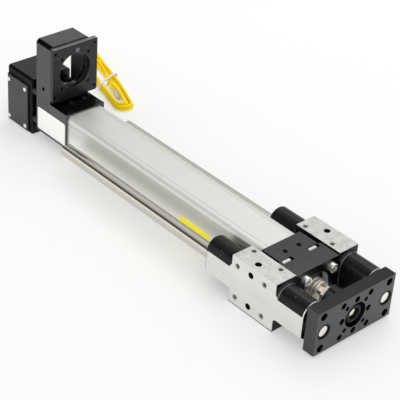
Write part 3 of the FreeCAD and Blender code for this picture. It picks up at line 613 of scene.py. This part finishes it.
# Finishes of single nodes, instead of their slot's
own_looks = {
    "front_plate": tool_plate_finish_and_shade(),
    "front_head": head_finish_and_shade(),
    "motor_flange": flange_finish_and_highlight(),
    # painted shade: darker black on the housing's and the box's rounded top edges, on the box's -Y side and
    # on the cap's top
    "belt_housing": coat("housing_finish_and_shade", HOUSING_IOR, shade_of=round_top_shade),
    "rear_cap": coat("cap_finish_and_shade", CAP_IOR, shade_of=shade_faces(top=0.82)),
    "rear_box": coat("box_finish_and_shade", BOX_IOR, shade_of=round_top_and_side_shade),
    "coupling_nut": plated("nut_finish", (0.012, 0.012, 0.012), (0.02, 0.02, 0.02), 0.38),
    "flange_dowel": plated("dowel_finish", (0.16, 0.16, 0.155), (0.22, 0.22, 0.21), 0.4),
    "piston_rod": metal("rod_finish", (0.92, 0.88, 0.78), (0.96, 0.93, 0.85), 0.36, ROUND_X, shine=0.9),
    "head_screws": plated("screw_finish", (0.90, 0.89, 0.83), (0.96, 0.95, 0.90), 0.22, shine=0.85),
    "clamp_screws": plated("clamp_finish", (0.50, 0.50, 0.49), (0.60, 0.60, 0.58), 0.3),
    "thread_inserts": insert_finish_and_shade(),
}


def wear(obj, material):
    """Give an object one material."""
    obj.data.materials.clear()
    obj.data.materials.append(material)


for subpart in frame["record"]["subparts"]:
    name = subpart["node"]
    wear(nodes[name], own_looks.get(name, looks[subpart["material_slot"]]))


def add(name, data, body, slot=None):
    """A new piece that rides on a body, with the finish of a slot if one is named."""
    obj = bpy.data.objects.new(name, data)
    bpy.context.scene.collection.objects.link(obj)
    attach(obj, body)
    if slot:
        wear(obj, looks[slot])
    return obj


def mesh_of(name, points, faces, smooth=False):
    """A mesh of these points and faces."""
    mesh = bpy.data.meshes.new(name)
    mesh.from_pydata([tuple(p) for p in points], [], faces)
    mesh.validate()
    for polygon in mesh.polygons:
        polygon.use_smooth = smooth
    return mesh


def closed_faces(rings, sides):
    """Quads between rings of points, and one face over each end."""
    faces = []
    for i in range(rings - 1):
        for j in range(sides):
            k = (j + 1) % sides
            faces.append((i * sides + j, i * sides + k, (i + 1) * sides + k, (i + 1) * sides + j))
    last = (rings - 1) * sides
    faces.append(tuple(reversed(range(sides))))
    faces.append(tuple(range(last, last + sides)))
    return faces


def hank_frame():
    """Direction from nose to tail, direction to the near side, and the tangents' lean."""
    along = HANK_TAIL - HANK_NOSE
    heading = along.normalized()
    near = Vector((-heading.y, heading.x, 0))
    lean = math.asin((HANK_TAIL_R - HANK_NOSE_R) / along.length)
    return heading, near, lean


def hank_fold(centre, outline_r, far, near, level, middle_turn, sweep, count):
    """Corners of the line round a fold and one point on each run, all at the same distance."""
    heading, near_way = hank_frame()[:2]
    step = sweep / count
    middle = centre + near_way * ((far[0] - near[0]) * CABLE_R) + Vector((0, 0, 2 * CABLE_R * level))
    r = outline_r - (far[0] + near[0]) * CABLE_R

    def at(turn, reach):
        return middle + (heading * math.cos(turn) + near_way * math.sin(turn)) * reach

    turns = [middle_turn + step * ((count - 1) / 2 - i) for i in range(count)]
    corners = [at(turn, r / math.cos(step / 2)) for turn in turns]
    first = 2 * at(turns[0] + step / 2, r) - corners[0]
    last = 2 * at(turns[-1] - step / 2, r) - corners[-1]
    return [first, *corners, last]


def hank_run(side, share, strand):
    """Point on a straight run: side 1 is near, -1 far, and share goes from nose to tail."""
    heading, near, lean = hank_frame()
    inset, height = (2 * CABLE_R * s for s in strand)
    centre = HANK_NOSE.lerp(HANK_TAIL, share)
    r = HANK_NOSE_R + (HANK_TAIL_R - HANK_NOSE_R) * share - inset
    if side < 0:
        r += FAR_BOW * math.sin(math.pi * share)
    out = near * (side * math.cos(lean)) - heading * math.sin(lean)
    return centre + out * r + Vector((0, 0, height))


def hank_turn(before, far, near):
    """One turn: from the near strand before round the tail, along the far side, round the nose and back."""
    lean = hank_frame()[2]
    tail_sweep, nose_sweep = math.pi + 2 * lean, math.pi - 2 * lean
    points = hank_fold(HANK_TAIL, HANK_TAIL_R, far, before, before[1], 0.0, tail_sweep, TAIL_CORNERS)
    points += [hank_run(-1, share, far) for share in FAR_SHARES]
    points.append(hank_run(-1, FAR_CLIMB, (far[0], max(far[1], near[1]))))
    points += hank_fold(HANK_NOSE, HANK_NOSE_R, far, near, near[1], math.pi, nose_sweep, NOSE_CORNERS)
    points += [hank_run(1, share, near) for share in NEAR_SHARES]
    return points


def connector_axis():
    """Direction from the connector's mouth to its cable."""
    return Vector((math.cos(CONNECTOR_TURN), math.sin(CONNECTOR_TURN), 0))


def cable_points():
    """Control points of the cable from the gland through the hank to the connector."""
    points = list(LEAD_ROUTE)
    before = FAR_STRANDS[0]
    for far, near in zip(FAR_STRANDS, NEAR_STRANDS):
        points += hank_turn(before, far, near)
        before = near
    last = FAR_STRANDS[-1]
    points += hank_turn(before, last, last)[:LAST_TURN_POINTS]
    axis = connector_axis()
    across = Vector((axis.y, -axis.x, 0))
    start = CONNECTOR_MIDDLE + axis * (CONNECTOR_LENGTH / 2)
    bend = start + axis * END_STRAIGHT
    points += [bend + axis * END_REACH + across * END_DRIFT, bend, start]
    return points


def cable_lead():
    """The whole cable as one smooth curve."""
    curve = bpy.data.curves.new("cable_lead", "CURVE")
    curve.dimensions = "3D"
    curve.bevel_depth = 1.0
    curve.bevel_resolution = 4
    curve.resolution_u = 8
    curve.use_fill_caps = True
    points = cable_points()
    spline = curve.splines.new("NURBS")
    spline.points.add(len(points) - 1)
    for place, point in zip(spline.points, points):
        place.co = (*point, 1.0)
        place.radius = CABLE_R
    spline.order_u = 3
    spline.use_endpoint_u = True
    lead = add("cable_lead", curve, FIXED, "yellow_jacket")
    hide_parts("sensor_cable", "cable_hank", "cable_end")
    return lead


def tie_band():
    """Flat nylon band pulled round both runs of the hank."""
    heading, near = hank_frame()[:2]
    turn = Matrix.Rotation(TIE_SKEW, 3, "Z")
    across = turn @ near
    along = turn @ heading
    slack = 0.0005
    lift = 0.55               # from the middle of the highest strand to the band, in cable diameters
    lowest = 0.0001
    centre = HANK_NOSE.lerp(HANK_TAIL, TIE_SHARE)
    half = (HANK_NOSE_R + (HANK_TAIL_R - HANK_NOSE_R) * TIE_SHARE + slack) / math.cos(TIE_SKEW)
    far_bulge = FAR_BOW * math.sin(math.pi * TIE_SHARE) / math.cos(TIE_SKEW)
    near_top = 2 * CABLE_R * (max(height for _, height in NEAR_STRANDS) + lift)
    far_top = 2 * CABLE_R * (max(height for _, height in FAR_STRANDS) + lift)
    points = []
    for i in range(TIE_SIDES):
        c, s = math.cos(TAU * i / TIE_SIDES), math.sin(TAU * i / TIE_SIDES)
        reach = math.copysign(abs(c) ** TIE_ROUNDNESS, c)
        rise = math.copysign(abs(s) ** TIE_ROUNDNESS, s)
        top = far_top + (near_top - far_top) * (reach + 1) / 2
        for width in (-TIE_WIDTH / 2, TIE_WIDTH / 2):
            for skin in (0, TIE_THICKNESS):
                level = top / 2 + rise * (top / 2 + skin) + TIE_THICKNESS / 2
                out = half + skin + (far_bulge if reach < 0 else 0)
                points.append(centre + across * (reach * out) + along * width
                              + Vector((0, 0, max(level, lowest))))
    faces = []
    for i in range(TIE_SIDES):
        n = (i + 1) % TIE_SIDES
        for a, b in ((0, 1), (1, 3), (3, 2), (2, 0)):
            faces.append((i * 4 + a, i * 4 + b, n * 4 + b, n * 4 + a))
    band = add("tie_band", mesh_of("tie_band", points, faces), FIXED, "clear_nylon")
    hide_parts("cable_tie")
    return band


def lathe(name, start, axis, profile, sides):
    """Turned solid: profile is a list of (distance along the axis, radius, flute depth)."""
    tilt = Vector((1, 0, 0)).rotation_difference(axis)
    points = []
    for far, r, flute in profile:
        for j in range(sides):
            turn = TAU * j / sides
            out = r - (flute if j % 2 else 0)
            points.append(start + tilt @ Vector((far, out * math.cos(turn), out * math.sin(turn))))
    return mesh_of(name, points, closed_faces(len(profile), sides))


def cable_plug():
    """Round connector: ribbed boot, body and a knurled coupling ring."""
    axis = connector_axis()
    start = CONNECTOR_MIDDLE - axis * (CONNECTOR_LENGTH / 2)
    grip = CONNECTOR_LENGTH - BOOT_LENGTH
    neck = CONNECTOR_R * 0.8
    flute = 0.0003
    ring_from, ring_to = 0.002, 0.009
    body = [(0, neck, 0), (ring_from, neck, 0), (ring_from, CONNECTOR_R, flute),
            (ring_to, CONNECTOR_R, flute), (ring_to, neck, 0), (grip, neck, 0)]
    ribs = 4
    pitch = BOOT_LENGTH / ribs
    crest = pitch * 0.6
    boot = []
    for i in range(ribs):
        far = grip + pitch * i
        r = CONNECTOR_R + (CABLE_R - CONNECTOR_R) * (i + 1) / (ribs + 1)
        boot += [(far, r, 0), (far + crest, r, 0), (far + crest, CABLE_R, 0), (far + pitch, CABLE_R, 0)]
    mesh = lathe("cable_plug", start, axis, body + boot, CONNECTOR_SIDES)
    plug = add("cable_plug", mesh, FIXED, "pale_plastic")
    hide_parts("cable_connector")
    return plug


lead = cable_lead()
band = tie_band()
plug = cable_plug()


def rod_thread():
    """Stud with a real thread, in the place of its plain solid."""
    low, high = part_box("rod_stud")
    r = (high.y - low.y) / 2
    axis_z = (low.z + high.z) / 2
    steps = int((high.x - low.x) / THREAD_PITCH * THREAD_STEPS)
    points = []
    for i in range(steps + 1):
        x = low.x + (high.x - low.x) * i / steps
        end = min(i, steps - i) / THREAD_STEPS
        for j in range(THREAD_SIDES):
            turn = TAU * j / THREAD_SIDES
            phase = ((x - low.x) / THREAD_PITCH - j / THREAD_SIDES) % 1.0
            depth = min(1.0, max(0.0, abs(2 * phase - 1) * THREAD_FLANK - THREAD_CREST)) * THREAD_DEPTH
            out = min(r - depth, r - THREAD_DEPTH * (1 - min(1.0, end)))
            points.append((x, out * math.cos(turn), axis_z + out * math.sin(turn)))
    mesh = mesh_of("threaded_stud", points, closed_faces(steps + 1, THREAD_SIDES), smooth=True)
    stud = add("threaded_stud", mesh, MOVING, "nickel_steel")
    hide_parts("rod_stud")


rod_thread()


def rounded_label(name, low, high, face_y, corner, material):
    """Thin label with round corners on a face that looks along -Y."""
    corners = [(high.x - corner, high.z - corner), (low.x + corner, high.z - corner),
               (low.x + corner, low.z + corner), (high.x - corner, low.z + corner)]
    outline = []
    for quarter, (x, z) in enumerate(corners):
        for i in range(CORNER_STEPS + 1):
            turn = TAU / 4 * (quarter + i / CORNER_STEPS)
            outline.append((x + corner * math.cos(turn), z + corner * math.sin(turn)))
    points = [(x, y, z) for y in (face_y, face_y - LABEL_THICKNESS) for x, z in outline]
    label = add(name, mesh_of(name, points, closed_faces(2, len(outline))), FIXED)
    wear(label, material)


rounded_label("blank_label", LABEL_LOW, LABEL_HIGH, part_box("rear_cap")[0].y, LABEL_CORNER,
              printed("blank_label", LABEL_COLOR, LABEL_SOIL))
# the sticker's slight glow is painted light
rounded_label("blank_sticker", STICKER_LOW, STICKER_HIGH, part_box("profile_tube")[0].y, STICKER_CORNER,
              printed("blank_sticker", STICKER_COLOR, STICKER_SOIL,
                      emission_color=STICKER_COLOR, emission_strength=STICKER_PAINTED_GLOW))


def smooth_cad(obj):
    """Shade round CAD faces smoothly and keep sharp edges sharp."""
    obj.data.polygons.foreach_set("use_smooth", [True] * len(obj.data.polygons))
    obj.data.set_sharp_from_angle(angle=SHARP_ANGLE)


def floor():
    """Plain pale floor that keeps the shadows."""
    corners = [(-1, -1), (1, -1), (1, 1), (-1, 1)]
    points = [(x * FLOOR_REACH, y * FLOOR_REACH, -FLOOR_DROP) for x, y in corners]
    plane = bpy.data.objects.new("floor", mesh_of("floor", points, [(0, 1, 2, 3)]))
    bpy.context.scene.collection.objects.link(plane)
    look = Look("floor", FLOOR_COLOR, roughness=0.7, specular_ior_level=0.2)
    look.put("Base Color", look.mix(look.noise(3, 3), FLOOR_COLOR, FLOOR_CLOUD))
    rays = look.node("LightPath").outputs
    seen = look.either(rays["Is Camera Ray"], rays["Is Glossy Ray"], rays["Is Transmission Ray"])
    glow = look.node("Emission", Color=(1.0, 1.0, 1.0), Strength=1.0)
    mixed = look.node("MixShader", Fac=look.times(seen, FLOOR_GLOW))
    look.feed(mixed.inputs[1], look.shader.outputs[0])
    look.feed(mixed.inputs[2], glow.outputs[0])
    look.feed(look.tree.nodes["Material Output"].inputs["Surface"], mixed.outputs[0])
    wear(plane, look.material)


def key_lamp():
    """Large soft lamp above and behind the object."""
    light = bpy.data.lights.new("key", "AREA")
    light.shape = "DISK"
    light.size = KEY_SIZE
    light.energy = KEY_POWER
    obj = bpy.data.objects.new("key", light)
    obj.location = KEY_PLACE
    obj.rotation_euler = (KEY_AIM - KEY_PLACE).to_track_quat("-Z", "Y").to_euler()
    bpy.context.scene.collection.objects.link(obj)


def studio():
    """A soft arch of light, brightest on the -Y side, with a dark flag that polished metal shows."""
    world = bpy.data.worlds.new("studio")
    bpy.context.scene.world = world
    world.use_nodes = True
    tree = world.node_tree

    def node(kind, **settings):
        made = tree.nodes.new("ShaderNode" + kind)
        for name, value in settings.items():
            setattr(made, name, value)
        return made

    def link(out, into):
        tree.links.new(out, into)

    def ramp(height, stops):
        made = node("ValToRGB")
        link(height, made.inputs["Fac"])
        elements = made.color_ramp.elements
        while len(elements) < len(stops):
            elements.new(1.0)
        for element, (place, level) in zip(elements, stops):
            element.position = place
            element.color = (level, level, level, 1.0)
        return made.outputs["Color"]

    def number(operation, *values):
        made = node("Math", operation=operation)
        for socket, value in zip(made.inputs, values):
            if isinstance(value, bpy.types.NodeSocket):
                link(value, socket)
            else:
                socket.default_value = value
        return made.outputs[0]

    way = node("SeparateXYZ")
    link(node("TexCoord").outputs["Generated"], way.inputs[0])
    towards = number("MULTIPLY", way.outputs["Y"], -1.0)
    turn = number("DIVIDE", number("ARCTAN2", way.outputs["Z"], towards), math.pi)
    rear = node("MapRange")
    link(way.outputs["X"], rear.inputs["Value"])
    rear.inputs["From Min"].default_value, rear.inputs["From Max"].default_value = FLAG_FADE
    flag = number("MULTIPLY", ramp(turn, FLAG), rear.outputs["Result"])
    background = tree.nodes["Background"]
    link(ramp(turn, SKY), background.inputs["Color"])
    link(number("MULTIPLY_ADD", flag, -SKY_STRENGTH, SKY_STRENGTH), background.inputs["Strength"])
    bpy.context.scene.view_settings.view_transform = "Standard"


def camera():
    """Camera at the photograph's viewing angle."""
    data = bpy.data.cameras.new("camera")
    data.lens = CAMERA_LENS
    data.sensor_width = CAMERA_SENSOR
    obj = bpy.data.objects.new("camera", data)
    level = math.cos(CAMERA_ELEVATION)
    back = Vector((math.sin(CAMERA_AZIMUTH) * level, -math.cos(CAMERA_AZIMUTH) * level,
                   math.sin(CAMERA_ELEVATION)))
    obj.location = CAMERA_PLACE
    obj.rotation_mode = "QUATERNION"
    obj.rotation_quaternion = (-back).to_track_quat("-Z", "Y") @ Quaternion((0, 0, 1), CAMERA_ROLL)
    bpy.context.scene.collection.objects.link(obj)
    bpy.context.scene.camera = obj


for cad_node in nodes.values():
    smooth_cad(cad_node)
floor()
key_lamp()
studio()
camera()
